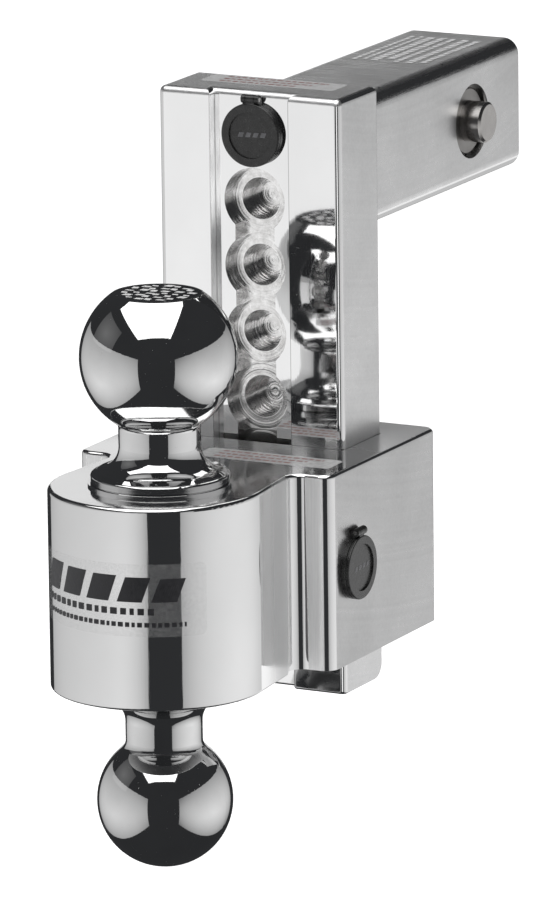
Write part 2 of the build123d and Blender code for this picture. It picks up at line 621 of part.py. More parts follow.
BALL_AXIS_PLANE = Plane(origin=(0, BALL_Y, 0), x_dir=(1, 0, 0), z_dir=(0, -1, 0))
BALL_AXIS = Axis((0, BALL_Y, 0), (0, 0, 1))
UPPER_SEAT = PLATFORM_TOP + WASHER_THICKNESS
LOWER_SEAT = NOSE_BOTTOM - WASHER_THICKNESS
THREAD_R = 9.5
STUD_FLAT = 9.4             # bottom of the lock pin's socket in the stud, from the ball axis
UPPER_STUD_END = PLATFORM_TOP - 44.0
LOWER_STUD_END = PLATFORM_TOP - 46.0
THREAD_END = PLATFORM_TOP - 66.0

with BuildPart() as upper_ball:
    with BuildSketch(BALL_AXIS_PLANE):
        with BuildLine():
            add(ball_profile(UPPER_BALL_R, UPPER_BALL_Z, UPPER_NECK_R, CROWN_FLAT_R,
                             UPPER_SEAT, UPPER_STUD_END, 1))
        make_face()
    revolve(axis=BALL_AXIS)
    neck_ring = upper_ball.edges().filter_by(GeomType.CIRCLE).filter_by(
        lambda edge: abs(edge.radius - UPPER_NECK_R) < 0.01).sort_by(Axis.Z)[-1]
    fillet(neck_ring, radius=UPPER_NECK_BLEND)
    flat_rim = upper_ball.edges().filter_by(GeomType.CIRCLE).filter_by(
        lambda edge: abs(edge.radius - CROWN_FLAT_R) < 0.01)
    fillet(flat_rim, radius=CROWN_ROUND)
    with BuildSketch(Plane.XY.offset(THREAD_END)):
        with Locations((0, BALL_Y)):
            Circle(THREAD_R)
    extrude(amount=UPPER_STUD_END - THREAD_END)
    chamfer(upper_ball.faces().sort_by(Axis.Z)[0].edges(), length=1.2)
    with BuildSketch(PLUNGER_PLANE.offset(BALL_Y + STUD_FLAT - PLUNGER_BORE_END)):
        Circle(STUD_PIN_R)
    extrude(amount=6.0, mode=Mode.SUBTRACT)
save(upper_ball.part, "upper_ball")

with BuildPart() as lower_ball:
    with BuildSketch(BALL_AXIS_PLANE):
        with BuildLine():
            add(ball_profile(LOWER_BALL_R, LOWER_BALL_Z, LOWER_NECK_R, 0, LOWER_SEAT, LOWER_STUD_END, -1))
        make_face()
    revolve(axis=BALL_AXIS)
    neck_ring = lower_ball.edges().filter_by(GeomType.CIRCLE).filter_by(
        lambda edge: abs(edge.radius - LOWER_NECK_R) < 0.01).sort_by(Axis.Z)[0]
    fillet(neck_ring, radius=LOWER_NECK_BLEND)
    with BuildSketch(Plane.XY.offset(THREAD_END - 2.0)):
        with Locations((0, BALL_Y)):
            Circle(THREAD_R + 0.02)
    extrude(amount=LOWER_STUD_END - THREAD_END + 2.0, mode=Mode.SUBTRACT)
save(lower_ball.part, "lower_ball")


def seat_washer(height):
    """Thin steel washer between a ball's flange and the platform."""
    with BuildPart() as washer:
        with BuildSketch(Plane.XY.offset(height)):
            with Locations((0, BALL_Y)):
                Circle(WASHER_R)
                Circle(STUD_BORE_R, mode=Mode.SUBTRACT)
        extrude(amount=WASHER_THICKNESS)
    return washer.part


save(seat_washer(PLATFORM_TOP), "upper_washer")
save(seat_washer(LOWER_SEAT), "lower_washer")

with BuildPart() as stud_lock_pin:
    with BuildSketch(PLUNGER_PLANE.offset(-0.5)):
        Circle(STUD_PIN_R - 0.02)
    extrude(amount=BALL_Y + STUD_FLAT + 0.4 - PLUNGER_BORE_END + 0.5)
save(stud_lock_pin.part, "stud_lock_pin")


# ================================================================ plunger
with BuildPart() as lock_plunger:
    with BuildSketch(PLUNGER_PLANE.offset(PLUNGER_BACK - PLUNGER_BORE_END)):
        Circle(PLUNGER_R)
    extrude(amount=COLLAR_FACE - PLUNGER_BACK)
    chamfer(lock_plunger.faces().sort_by(Axis.Y)[-1].edges(), length=0.8)
    with BuildSketch(PLUNGER_PLANE.offset(COLLAR_FACE - PLUNGER_BORE_END)):
        Circle(PLUNGER_NOSE_R)
    extrude(amount=PLUNGER_TIP - COLLAR_FACE)
    chamfer(lock_plunger.faces().sort_by(Axis.Y)[-1].edges(), length=0.8)
    # Stem that centres the spring
    with BuildSketch(PLUNGER_PLANE.offset(PLUNGER_BACK - PLUNGER_STEM_LENGTH - PLUNGER_BORE_END)):
        Circle(PLUNGER_STEM_R)
    extrude(amount=PLUNGER_STEM_LENGTH)
    # Slot on the right for the cam pin, wide enough for the pin's circular path
    with BuildSketch(RIGHT_SIDE.offset(CAM_DISC_INNER - CAM_PIN_LENGTH - 0.6)):
        with Locations((SIDE_LOCK_Y - CAM_THROW, SIDE_LOCK_Z + CAM_THROW / 2)):
            Rectangle(2 * (CAM_PIN_R + 1.2), CAM_THROW + 2 * (CAM_PIN_R + 0.6))
    extrude(amount=8.0, mode=Mode.SUBTRACT)
save(lock_plunger.part, "lock_plunger")

with BuildPart() as plunger_spring:
    spring_length = PLUNGER_BACK - PLUNGER_BORE_END - 2 * SPRING_WIRE_R - 0.4
    with BuildLine() as spring_path:
        Helix(pitch=spring_length / SPRING_TURNS, height=spring_length, radius=SPRING_R,
              center=(0, PLUNGER_BORE_END + SPRING_WIRE_R + 0.2, PLUNGER_Z), direction=(0, 1, 0))
    with BuildSketch(Plane(origin=spring_path.line @ 0, z_dir=spring_path.line % 0)):
        Circle(SPRING_WIRE_R)
    sweep()
save(plunger_spring.part, "plunger_spring")
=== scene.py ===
"""Looks for the adjustable drop hitch: materials, films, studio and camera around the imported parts."""
import math

import bpy
from mathutils import Matrix, Vector


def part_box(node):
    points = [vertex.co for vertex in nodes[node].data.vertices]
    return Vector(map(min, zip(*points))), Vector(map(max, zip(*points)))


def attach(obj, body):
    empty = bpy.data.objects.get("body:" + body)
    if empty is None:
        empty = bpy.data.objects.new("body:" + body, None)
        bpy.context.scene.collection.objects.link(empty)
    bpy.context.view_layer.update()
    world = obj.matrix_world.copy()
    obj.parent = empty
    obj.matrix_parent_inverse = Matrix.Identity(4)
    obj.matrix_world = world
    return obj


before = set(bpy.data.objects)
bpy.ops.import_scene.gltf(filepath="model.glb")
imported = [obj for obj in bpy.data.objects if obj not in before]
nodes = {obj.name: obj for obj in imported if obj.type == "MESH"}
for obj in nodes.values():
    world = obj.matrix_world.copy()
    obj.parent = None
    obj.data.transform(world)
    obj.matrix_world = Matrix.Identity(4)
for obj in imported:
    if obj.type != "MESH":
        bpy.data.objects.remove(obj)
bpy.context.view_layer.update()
MM = 0.001

# ---------------------------------------------------------------- places on the object, millimetres
BALL_Y = -213.9
NOSE_CENTRE_Y = BALL_Y - 2.7
NOSE_R = 40.6
STRIP_FLOOR = -135.15       # floor of the recess down the column's front
RECESS_HALF = 16.4          # half the recess's width
COLUMN_BACK = -107.5
COLUMN_TOP = 33.7
PLATFORM_TOP = -99.7
BOX_FRONT = -180.0
BOX_SIDE = 53.3
FRONT_LOCK_Z = 17.3
SIDE_LOCK_Y = -160.4
SIDE_LOCK_Z = -138.2
CAP_FACE = 2.6              # height of a lid's dished middle above the face it stands on
SHANK_TOP = 25.4
TOP_HOLE_Z = -8.2
HOLE_STEP = 25.4
HOLE_DEPTH = 16.0           # a little more than the deepest step, from the strip's floor
HOLE_REACH = 12.8           # a little more than a counterbore's radius
LOWEST_HOLE_EDGE = -175.0
LOWER_BALL_LOWEST = -271.3  # with the platform at its lowest stop
COLUMN_SIDES_FROM = 20.0    # farther out than the recess's walls, nearer in than the column's sides
SHOULDERS_FROM = 43.0       # farther out than the nose's flanks
FILM_LIFT = 0.05            # how far a film lies above a level face
INK_LIFT = 0.08
ETCH_LIFT = 0.1             # for the marks etched on the shank
NOSE_FILM_LIFT = 0.1
NOSE_INK_LIFT = 0.2
MARK_STEP = 0.8             # about how much of a mark is drawn flat, so that it follows the nose


# ---------------------------------------------------------------- node helpers
class Tree:
    """A material's node tree with short ways to add and join nodes."""

    def __init__(self, name):
        self.material = bpy.data.materials.new(name)
        self.material.use_nodes = True
        self.tree = self.material.node_tree
        self.tree.nodes.clear()
        self.output = self.add("ShaderNodeOutputMaterial")
        self.shader = self.add("ShaderNodeBsdfPrincipled")
        self.link(self.shader.outputs["BSDF"], self.output.inputs["Surface"])
        self.place = self.add("ShaderNodeTexCoord").outputs["Object"]

    def add(self, kind, **settings):
        node = self.tree.nodes.new(kind)
        for key, value in settings.items():
            setattr(node, key, value)
        return node

    def link(self, source, target):
        self.tree.links.new(source, target)

    def feed(self, value, socket):
        """Sets a socket to a number or colour, or joins an output to it."""
        if isinstance(value, bpy.types.NodeSocket):
            self.link(value, socket)
        else:
            socket.default_value = value

    def math(self, operation, *values):
        node = self.add("ShaderNodeMath", operation=operation)
        for value, socket in zip(values, node.inputs):
            self.feed(value, socket)
        return node.outputs[0]

    def axes(self, source=None):
        split = self.add("ShaderNodeSeparateXYZ")
        self.link(source or self.place, split.inputs[0])
        return split.outputs["X"], split.outputs["Y"], split.outputs["Z"]

    def vector(self, x, y, z):
        node = self.add("ShaderNodeCombineXYZ")
        for value, socket in zip((x, y, z), node.inputs):
            self.feed(value, socket)
        return node.outputs[0]

    def stretched(self, x, y, z):
        """The place on the object with each axis scaled, for grain that runs one way."""
        node = self.add("ShaderNodeMapping")
        self.link(self.place, node.inputs["Vector"])
        node.inputs["Scale"].default_value = (x, y, z)
        return node.outputs[0]

    def noise(self, place, scale, detail=4.0, rough=0.55):
        node = self.add("ShaderNodeTexNoise")
        self.link(place, node.inputs["Vector"])
        node.inputs["Scale"].default_value = scale
        node.inputs["Detail"].default_value = detail
        node.inputs["Roughness"].default_value = rough
        return node.outputs["Fac"]

    def ramp(self, value, low_in, high_in, low_out, high_out):
        node = self.add("ShaderNodeMapRange")
        self.feed(value, node.inputs["Value"])
        for key, number in (("From Min", low_in), ("From Max", high_in),
                            ("To Min", low_out), ("To Max", high_out)):
            node.inputs[key].default_value = number
        return node.outputs["Result"]

    def mix(self, share, first, second):
        node = self.add("ShaderNodeMix", data_type="RGBA")
        self.feed(share, node.inputs["Factor"])
        self.feed(first, node.inputs["A"])
        self.feed(second, node.inputs["B"])
        return node.outputs["Result"]

    def bump(self, height, strength, distance, under=None):
        node = self.add("ShaderNodeBump")
        node.inputs["Strength"].default_value = strength
        node.inputs["Distance"].default_value = distance
        self.link(height, node.inputs["Height"])
        if under is not None:
            self.link(under, node.inputs["Normal"])
        return node.outputs["Normal"]

    def set(self, **values):
        for key, value in values.items():
            self.feed(value, self.shader.inputs[key.replace("_", " ")])
        return self.material


def grey(level, warmth=0.0):
    return (level * (1 + warmth), level, level * (1 - warmth), 1.0)


# ---------------------------------------------------------------- materials
def polished_aluminium(name, level=0.86, rough=0.06, wave=0.05, painted_shade_line=None, dull_back=0.0):
    """Buffed aluminium: near-mirror, with soft clouding and a trace of the wheel's lines.

    A thin dark line of painted shade can run at a given distance to each side of the middle, in mm,
    along the recess's edges.
    dull_back is how much rougher the top grows from in front of the column to behind it.
    """
    t = Tree(name)
    cloud = t.noise(t.place, 28.0, 3.0)
    lines = t.noise(t.stretched(900, 900, 30), 1.0, 3.0)
    colour = t.mix(t.ramp(cloud, 0.3, 0.7, 0, 1), grey(level), grey(level * 0.95))
    # Painted shade: a thin dark line on the face along the recess's edges, standing in for the edges'
    # dark reflection.
    if painted_shade_line:
        x, y, z = t.axes()
        away = t.math("ABSOLUTE", t.math("SUBTRACT", t.math("ABSOLUTE", x), painted_shade_line * MM))
        colour = t.mix(t.ramp(away, 0.12 * MM, 0.35 * MM, 1, 0), colour, grey(level * 0.45))
    roughness = t.math("ADD", t.ramp(cloud, 0.3, 0.7, rough * 0.7, rough * 1.3),
                       t.ramp(lines, 0.35, 0.65, -rough * 0.15, rough * 0.25))
    if dull_back:
        x, y, z = t.axes()
        roughness = t.math("ADD", roughness,
                           t.ramp(y, (BOX_FRONT + 15.0) * MM, (COLUMN_BACK + 7.5) * MM, 0.0, dull_back))
    slow = t.bump(t.noise(t.place, 16.0, 1.0), wave, 0.004)
    return t.set(Base_Color=colour, Metallic=1.0, Roughness=roughness,
                 Normal=t.bump(lines, wave * 0.6, 0.0002, slow))


def platform_aluminium(name, level=0.86):
    """The platform's buffed sides: a mirror round the nose that turns satin along the flanks."""
    t = Tree(name)
    cloud = t.noise(t.place, 28.0, 3.0)
    x, y, z = t.axes()
    lines = t.noise(t.stretched(900, 900, 30), 1.0, 3.0)
    flank = t.ramp(y, (NOSE_CENTRE_Y + 6.0) * MM, (BOX_FRONT - 11.0) * MM, 0.035, 0.45)
    corner = t.ramp(y, (BOX_FRONT - 6.5) * MM, (BOX_FRONT - 4.5) * MM, 0.0, -0.39)
    roughness = t.math("ADD", t.math("ADD", flank, corner),
                       t.ramp(t.math("ADD", cloud, lines), 0.7, 1.3, -0.012, 0.02))
    colour = t.mix(t.ramp(cloud, 0.3, 0.7, 0, 1), grey(level), grey(level * 0.95))
    slow = t.bump(t.noise(t.place, 16.0, 1.0), 0.05, 0.004)
    return t.set(Base_Color=colour, Metallic=1.0, Roughness=roughness,
                 Normal=t.bump(lines, 0.04, 0.0002, slow))


def satin_aluminium(name, stretch, level=0.78, rough=0.33, grain=0.12, arcs=None, metal=1.0):
    """Milled aluminium with a fine grain; arcs is the centre of faint sweeping tool marks.

    A metal share below one stands for a blasted face that scatters light every way.
    """
    t = Tree(name)
    cloud = t.noise(t.place, 22.0, 3.0)
    lines = t.noise(t.stretched(*stretch), 1.0, 5.0, 0.65)
    height = lines
    if arcs:
        x, y, z = t.axes()
        run = t.math("SUBTRACT", y, arcs[0])
        rise = t.math("SUBTRACT", z, arcs[1])
        reach = t.math("SQRT", t.math("ADD", t.math("MULTIPLY", run, run),
                                      t.math("MULTIPLY", rise, rise)))
        sweep = t.noise(t.vector(t.math("MULTIPLY", reach, 420.0), 0.0, 0.0), 1.0, 4.0, 0.7)
        height = t.math("ADD", t.math("MULTIPLY", lines, 0.5), t.math("MULTIPLY", sweep, 0.5))
    shade = t.math("ADD", t.math("MULTIPLY", cloud, 0.5), t.math("MULTIPLY", height, 0.5))
    colour = t.mix(t.ramp(shade, 0.38, 0.62, 0, 1), grey(level * 1.03), grey(level * 0.87))
    roughness = t.math("ADD", t.ramp(cloud, 0.3, 0.7, rough * 0.9, rough * 1.12),
                       t.ramp(height, 0.35, 0.65, -0.05, 0.06))
    return t.set(Base_Color=colour, Metallic=metal, Roughness=roughness,
                 Normal=t.bump(height, grain, 0.0003))


def bored_aluminium(name):
    """Drilled holes and counterbores: steps left by the cutter, and swirls on the bottoms."""
    t = Tree(name)
    x, y, z = t.axes()
    turn = t.math("DIVIDE", t.math("SUBTRACT", z, TOP_HOLE_Z * MM), -HOLE_STEP * MM)
    offset = t.math("SUBTRACT", turn, t.math("ROUND", turn))
    rise = t.math("MULTIPLY", offset, HOLE_STEP * MM)
    reach = t.math("SQRT", t.math("ADD", t.math("MULTIPLY", x, x), t.math("MULTIPLY", rise, rise)))
    fine = t.noise(t.vector(t.math("MULTIPLY", reach, 1500.0), t.math("MULTIPLY", y, 700.0), 0.0),
                   1.0, 3.0, 0.6)
    steps = t.math("SINE", t.math("MULTIPLY", t.math("ADD", y, t.math("MULTIPLY", reach, 0.8)),
                                  2900.0))
    swirl = t.noise(t.place, 260.0, 4.0, 0.7)
    height = t.math("ADD", t.math("MULTIPLY", steps, 0.16),
                    t.math("ADD", fine, t.math("MULTIPLY", swirl, 0.5)))
    colour = t.mix(t.ramp(swirl, 0.35, 0.65, 0, 1), grey(0.84, 0.004), grey(0.66, 0.012))
    return t.set(Base_Color=colour, Metallic=1.0,
                 Roughness=t.ramp(swirl, 0.3, 0.7, 0.1, 0.2),
                 Normal=t.bump(height, 0.3, 0.00035))


def ball_chrome(name, level, rough):
    """Mirror plate over turned steel, with a few specks of dust."""
    t = Tree(name)
    cloud = t.noise(t.place, 60.0, 3.0)
    dust = t.ramp(t.noise(t.place, 1300.0, 1.0), 0.76, 0.8, 0.0, 0.5)
    x, y, z = t.axes()
    lathe = t.noise(t.vector(0.0, 0.0, t.math("MULTIPLY", z, 2200.0)), 1.0, 2.0)
    colour = t.mix(t.ramp(cloud, 0.35, 0.65, 0, 1), grey(level), grey(level * 0.93))
    return t.set(Base_Color=colour, Metallic=1.0,
                 Roughness=t.math("ADD", t.ramp(cloud, 0.3, 0.7, rough * 0.7, rough * 1.5), dust),
                 Normal=t.bump(lathe, 0.02, 0.00015))


def turned_steel(name, level=0.55, rough=0.28, warmth=0.02):
    """Plated steel with fine turning marks across its axis."""
    t = Tree(name)
    cloud = t.noise(t.place, 120.0, 3.0)
    x, y, z = t.axes()
    reach = t.math("SQRT", t.math("ADD", t.math("MULTIPLY", y, y), t.math("MULTIPLY", z, z)))
    rings = t.noise(t.vector(t.math("MULTIPLY", reach, 1800.0), t.math("MULTIPLY", x, 1800.0), 0.0),
                    1.0, 3.0)
    colour = t.mix(t.ramp(cloud, 0.3, 0.7, 0, 1), grey(level, warmth), grey(level * 0.85, warmth))
    return t.set(Base_Color=colour, Metallic=1.0,
                 Roughness=t.ramp(rings, 0.3, 0.7, rough * 0.8, rough * 1.25),
                 Normal=t.bump(rings, 0.12, 0.0002))


def lock_brass(name):
    t = Tree(name)
    cloud = t.noise(t.place, 90.0, 4.0)
    fine = t.noise(t.place, 1400.0, 2.0)
    colour = t.mix(t.ramp(cloud, 0.3, 0.7, 0, 1), (0.78, 0.62, 0.34, 1), (0.66, 0.5, 0.26, 1))
    return t.set(Base_Color=colour, Metallic=1.0, Roughness=t.ramp(cloud, 0.3, 0.7, 0.22, 0.38),
                 Normal=t.bump(fine, 0.06, 0.0002))


def cap_plastic(name):
    """Black moulded plastic: a fine spark-eroded texture under a slight gloss."""
    t = Tree(name)
    cloud = t.noise(t.place, 420.0, 4.0, 0.7)
    grain = t.noise(t.place, 1900.0, 3.0, 0.7)
    colour = t.mix(t.ramp(cloud, 0.3, 0.7, 0, 1), grey(0.009), grey(0.024))
    return t.set(Base_Color=colour, Roughness=t.ramp(cloud, 0.3, 0.7, 0.16, 0.3),
                 Specular_IOR_Level=0.6, Normal=t.bump(grain, 0.14, 0.0004))


def clear_film(name):
    """Clear label film with a faint frost and trapped air."""
    t = Tree(name)
    frost = t.noise(t.place, 900.0, 4.0, 0.8)
    return t.set(Base_Color=grey(0.6), Roughness=t.ramp(frost, 0.3, 0.7, 0.3, 0.6),
                 Alpha=t.ramp(frost, 0.35, 0.65, 0.03, 0.12), Normal=t.bump(frost, 0.2, 0.0002))


def white_film(name):
    """Milky label film, more opaque than the clear one."""
    t = Tree(name)
    frost = t.noise(t.place, 500.0, 3.0)
    return t.set(Base_Color=grey(0.78), Roughness=t.ramp(frost, 0.3, 0.7, 0.3, 0.45),
                 Alpha=t.ramp(frost, 0.3, 0.7, 0.42, 0.6))


def label_ink(name, tint):
    t = Tree(name)
    cloud = t.noise(t.place, 700.0, 3.0)
    colour = t.mix(t.ramp(cloud, 0.3, 0.7, 0, 1), tint, [part * 1.5 for part in tint[:3]] + [1.0])
    return t.set(Base_Color=colour, Roughness=t.ramp(cloud, 0.3, 0.7, 0.35, 0.5))


def etched_metal(name):
    """Frosted marks left by an etching tool: pale and rough against the mirror round them."""
    t = Tree(name)
    grain = t.noise(t.place, 3000.0, 3.0, 0.8)
    colour = t.mix(t.ramp(grain, 0.3, 0.7, 0, 1), grey(0.95), grey(0.7))
    return t.set(Base_Color=colour, Metallic=0.0, Roughness=t.ramp(grain, 0.3, 0.7, 0.45, 0.7),
                 Normal=t.bump(grain, 0.5, 0.0003))


polish = polished_aluminium("polished_aluminium")
# The column's mirror front gets the painted-shade line along the recess's edges.
mirror = polished_aluminium("mirror_aluminium", 0.88, 0.04, 0.03, painted_shade_line=RECESS_HALF)
nose_polish = platform_aluminium("platform_aluminium")
top_polish = polished_aluminium("platform_top", 0.84, 0.085, 0.09, dull_back=0.42)
side_satin = satin_aluminium("satin_side", (60, 700, 700), rough=0.30, arcs=(-0.05, 0.35))
box_satin = satin_aluminium("satin_box", (60, 700, 700), level=0.62, rough=0.30, arcs=(-0.05, 0.35))
top_satin = satin_aluminium("brushed_top", (60, 1900, 60), level=0.53, rough=0.3, grain=0.25)
edge_satin = satin_aluminium("buffed_edge", (500, 500, 500), level=0.92, rough=0.34, grain=0.2)
round_satin = satin_aluminium("buffed_round", (2600, 90, 2600), level=0.7, rough=0.2, grain=0.3)
shoulder_satin = satin_aluminium("satin_shoulder", (900, 900, 40), level=0.86, rough=0.42, metal=0.45)
column_top = satin_aluminium("milled_top", (900, 900, 900), level=0.55, rough=0.3, grain=0.14)
bored = bored_aluminium("bored_aluminium")
chrome = ball_chrome("ball_chrome", 0.80, 0.025)
smoky_chrome = ball_chrome("ball_chrome_lower", 0.76, 0.035)
steel = turned_steel("zinc_steel")
dark_steel = turned_steel("spring_steel", 0.4, 0.33, 0.0)
bolt_steel = turned_steel("bolt_steel", 0.56, 0.2, 0.03)
bushing_steel = turned_steel("bushing_steel", 0.34, 0.34, 0.03)
# A lighter copy of the satin for the recess's walls: the higher level is painted light, so the walls
# read bright.
recess_satin_painted_light = satin_aluminium("satin_recess_painted_light", (300, 300, 60), level=0.97, rough=0.18, metal=0.7)
brass = lock_brass("lock_brass")
plastic = cap_plastic("cap_plastic")
film_clear = clear_film("clear_film")
film_milky = white_film("milky_film")
dark_ink = label_ink("dark_ink", (0.012, 0.012, 0.014, 1.0))
rust_ink = label_ink("rust_ink", (0.16, 0.06, 0.055, 1.0))
# Lighter grey for the lids' marks: painted highlight standing in for raised moulding in the same black
# plastic.
cap_relief_painted_highlight = label_ink("cap_relief_painted_highlight", (0.075, 0.075, 0.08, 1.0))
etched = etched_metal("etched_marks")


# ---------------------------------------------------------------- give each face of a part its finish
def dress(name, default, *rules):
    """Replaces a part's material; each rule is (material, test(centre in mm, normal))."""
    mesh = nodes[name].data
    mesh.materials.clear()
    mesh.materials.append(default)
    for material, _ in rules:
        mesh.materials.append(material)
    for face in mesh.polygons:
        centre = face.center / MM
        for index, (_, test) in enumerate(rules):
            if test(centre, face.normal):
                face.material_index = index + 1
                break


def in_hole(c):
    """Inside the row of holes, below the strip's floor."""
    deep_enough = STRIP_FLOOR + 0.05 < c.y < STRIP_FLOOR + HOLE_DEPTH
    return deep_enough and abs(c.x) < HOLE_REACH and LOWEST_HOLE_EDGE < c.z < TOP_HOLE_Z + HOLE_REACH


dress("drawbar", polish,
      (bored, lambda c, n: in_hole(c)),
      (edge_satin, lambda c, n: c.z > COLUMN_TOP - 2.5 and n.y < -0.15 and n.z > 0.05),
      (top_satin, lambda c, n: n.z > 0.85 and c.y > COLUMN_BACK),
      (column_top, lambda c, n: n.z > 0.85),
      (side_satin, lambda c, n: abs(n.x) > 0.95 and abs(c.x) > COLUMN_SIDES_FROM),
      (recess_satin_painted_light, lambda c, n: abs(n.x) > 0.95),
      (side_satin, lambda c, n: n.y > 0.9 or n.z < -0.9),
      (mirror, lambda c, n: n.y < -0.95),
      (round_satin, lambda c, n: c.y > COLUMN_BACK and n.z > 0.05))
dress("ball_platform", nose_polish,
      (top_polish, lambda c, n: n.z > 0.95),
      (shoulder_satin, lambda c, n: n.y < -0.97 and abs(c.x) > SHOULDERS_FROM),
      (box_satin, lambda c, n: abs(n.x) > 0.97 and abs(c.x) > BOX_SIDE - 3.3),
      (side_satin, lambda c, n: n.y > 0.9 or n.z < -0.9))
FINISHES = {"zinc_steel": steel, "spring_steel": dark_steel, "lock_brass": brass, "cap_plastic": plastic}
for name, node in nodes.items():
    packed = node.data.materials[0].name if node.data.materials else ""
    for slot, finish in FINISHES.items():
        if packed.startswith(slot):
            dress(name, finish)
for end, plating in (("upper", chrome), ("lower", smoky_chrome)):
    dress(end + "_ball", plating)
    dress(end + "_washer", plating)
for side in ("left", "right"):
    dress("receiver_bolt_" + side, bolt_steel)
    dress("bolt_bushing_" + side, bushing_steel)


# ---------------------------------------------------------------- films and plain marks
# Every mark is a plain bar or tick: the real ones carry words, which are left out.
def strip(first, columns):
    """Faces that join neighbouring columns of two points; first is the number of the first point."""
    return [(first + 2 * i, first + 2 * i + 2, first + 2 * i + 3, first + 2 * i + 1)
            for i in range(columns - 1)]


def skin(name, body, points, faces, material):
    """A thin piece on the surface that throws no shadow."""
    mesh = bpy.data.meshes.new(name)
    mesh.from_pydata(points, [], faces)
    mesh.materials.append(material)
    piece = bpy.data.objects.new(name, mesh)
    bpy.context.scene.collection.objects.link(piece)
    piece.visible_shadow = False
    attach(piece, body)
    return piece


def patch(name, body, outline, place, material):
    """A label film: outline is a list of (s, low t, high t) columns in mm."""
    points = []
    for s, low_t, high_t in outline:
        points += [Vector(place(s, low_t)) * MM, Vector(place(s, high_t)) * MM]
    film = skin(name, body, points, strip(0, len(outline)), material)
    for face in film.data.polygons:
        face.use_smooth = True


def rounded(width, height, corner, steps=6):
    """Columns of a rectangle with rounded corners, centred on zero."""
    half, rise = width / 2, height / 2
    turns = [math.pi / 2 * i / steps for i in range(steps + 1)]
    left = [(-half + corner * (1 - math.cos(a)), rise - corner * (1 - math.sin(a))) for a in turns]
    right = [(-s, t) for s, t in reversed(left)]
    middle = [(-half + corner + (width - 2 * corner) * i / 50, rise) for i in range(1, 50)]
    return [(s, -t, t) for s, t in left + middle + right]


def bars(name, body, spans, place, material):
    """Several slanted bars as one piece; each span is (start, end, low, high, slant)."""
    points, faces = [], []
    for start, end, low_t, high_t, slant in spans:
        steps = max(1, int((end - start) / MARK_STEP))
        faces += strip(len(points), steps + 1)
        for i in range(steps + 1):
            s = start + (end - start) * i / steps
            points += [Vector(place(s, low_t)) * MM, Vector(place(s + slant, high_t)) * MM]
    skin(name, body, points, faces, material)


def dashes(start, end, low_t, high_t, longest, gap):
    """A row of short upright bars of uneven length."""
    spans = []
    s = start
    while s < end:
        length = longest * (0.55 + 0.45 * abs(math.sin(2.3 * len(spans) + start)))
        spans.append((s, min(s + length, end), low_t, high_t, 0.0))
        s += length + gap
    return spans


def on_nose(lift):
    """Wraps (s, t) round the nose's arc, with t measured from the film's middle."""
    def place(s, t):
        angle = s / NOSE_R
        reach = NOSE_R + lift
        return (reach * math.sin(angle), NOSE_CENTRE_Y - reach * math.cos(angle), NOSE_FILM_Z + t)
    return place


def on_level(x, y, z):
    return lambda s, t: (x + s, y + t, z)


NOSE_FILM_Z = PLATFORM_TOP - 34.2
patch("nose_film", "platform", rounded(76.0, 27.4, 2.5),
      on_nose(NOSE_FILM_LIFT), film_clear)
bars("nose_film_marks", "platform",
     [(-35.0 + 13.0 * i, -25.5 + 13.0 * i, -0.6, 10.2 - 0.5 * i, 3.4) for i in range(5)]
     + dashes(-34.0, 18.0, -5.4, -3.0, 2.6, 1.4)
     + dashes(-33.0, 30.0, -10.0, -8.3, 1.9, 0.9),
     on_nose(NOSE_INK_LIFT), dark_ink)

for label, body, x, y, z in (("column", "drawbar_body", -0.5, -117.0, COLUMN_TOP),
                             ("platform", "platform", 18.5, -161.8, PLATFORM_TOP)):
    patch(label + "_film", body, rounded(56.0, 14.0, 2.5),
          on_level(x, y, z + FILM_LIFT), film_milky)
    bars(label + "_film_marks", body,
         [span for row in range(3) for span in
          dashes(-21.0, 21.0 - 5.0 * row, 3.2 - 4.0 * row, 4.8 - 4.0 * row, 2.6, 0.8)],
         on_level(x, y, z + INK_LIFT), rust_ink)

# The lids' marks are flat and lighter than the plastic: painted highlight standing in for raised
# moulding that is not modelled.
cap_bars = [(-5.4 + 3.1 * i, -3.4 + 3.1 * i, -0.9 + 0.1 * i, 0.9 + 0.1 * i, 0.7) for i in range(4)]
bars("front_cap_marks", "front_lid", cap_bars,
     lambda s, t: (s, STRIP_FLOOR - CAP_FACE, FRONT_LOCK_Z + t), cap_relief_painted_highlight)
bars("side_cap_marks", "side_lid", cap_bars,
     lambda s, t: (BOX_SIDE + CAP_FACE, SIDE_LOCK_Y + s, SIDE_LOCK_Z + t), cap_relief_painted_highlight)
# Each row of the shank's marks is (start, low, high): where it begins along Y and its edges across.
shank_rows = ((-23.0, 13.2, 15.0), (-21.0, 9.6, 11.2), (-22.0, 4.4, 7.6), (-17.0, -0.4, 2.6),
              (-22.0, -4.6, -2.4), (-22.0, -10.4, -7.4), (-20.0, -15.2, -12.8))
bars("shank_marks", "drawbar_body",
     [span for start, low_t, high_t in shank_rows
      for span in dashes(start, 30.0, low_t, high_t, 3.4, 0.9)],
     lambda s, t: (-t, s, SHANK_TOP + ETCH_LIFT), etched)


def ring_of_ticks(count, radius):
    """Short ticks of uneven size, evenly spaced round a circle."""
    ticks = []
    for k in range(count):
        turn = 2 * math.pi * k / count
        s = radius * math.cos(turn)
        t = radius * math.sin(turn)
        ticks.append((s - 1.3, s + 1.1 + 0.7 * (k % 2),
                      t - 0.6, t + 0.7 + 0.7 * (k % 3), 0.9 * (k % 2) - 0.4))
    return ticks


bars("ball_marks", "platform",
     ring_of_ticks(18, 12.2) + ring_of_ticks(11, 7.6) + ring_of_ticks(5, 3.2),
     on_level(0.0, BALL_Y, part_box("upper_ball")[1][2] / MM + FILM_LIFT), etched)


